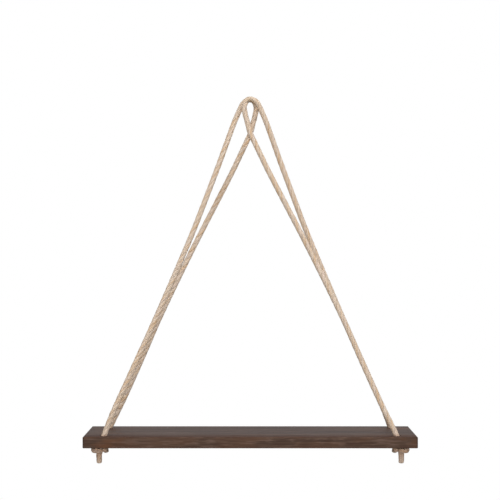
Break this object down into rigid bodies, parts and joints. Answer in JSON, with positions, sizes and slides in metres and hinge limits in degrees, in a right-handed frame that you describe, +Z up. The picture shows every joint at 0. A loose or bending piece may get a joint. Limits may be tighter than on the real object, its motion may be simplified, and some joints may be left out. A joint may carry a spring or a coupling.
{
  "type": "hanging rope shelf",
  "caption": "Dark stained plank shelf slung at its bored corners from natural laid ropes that meet over a single nail or hook, with stopper knots under the plank.",
  "frame": {"origin": "the hanging point: where the two ropes bear on the nail or hook, midway between them, at the top of the loop's inside", "axes": "+X to the right along the shelf, +Y to its back, +Z up; the board hangs below the origin"},
  "size_m": [0.6, 0.15, 0.6668],
  "materials": {
    "wood": "dark brown stain under a thin satin coat, fine grain along the board",
    "rope": "natural undyed fibre, three strands laid, matt and slightly hairy"
  },
  "bodies": {
    "nail_bights": {"left_rope_bight": "rope", "right_rope_bight": "rope"},
    "rope_shoulders": {"left_rope_front_shoulder": "rope", "left_rope_back_shoulder": "rope", "right_rope_front_shoulder": "rope", "right_rope_back_shoulder": "rope"},
    "rope_necks": {"left_rope_front_neck": "rope", "left_rope_back_neck": "rope", "right_rope_front_neck": "rope", "right_rope_back_neck": "rope"},
    "shelf": {"shelf_board": "wood", "left_rope_front_leg": "rope", "left_rope_front_knot": "rope", "left_rope_front_tail": "rope", "left_rope_back_leg": "rope", "left_rope_back_knot": "rope", "left_rope_back_tail": "rope", "right_rope_front_leg": "rope", "right_rope_front_knot": "rope", "right_rope_front_tail": "rope", "right_rope_back_leg": "rope", "right_rope_back_knot": "rope", "right_rope_back_tail": "rope"}
  },
  "joints": [
    {"name": "side_swing", "type": "hinge", "parent": "nail_bights", "child": "rope_shoulders", "pos_m": [0, 0, 0], "axis": [0, 1, 0], "range_deg": [-20, 20]},
    {"name": "front_swing", "type": "hinge", "parent": "rope_shoulders", "child": "rope_necks", "pos_m": [0, 0, 0], "axis": [1, 0, 0], "range_deg": [-10, 10]},
    {"name": "twist", "type": "hinge", "parent": "rope_necks", "child": "shelf", "pos_m": [0, 0, 0], "axis": [0, 0, 1], "range_deg": [-25, 25]}
  ]
}
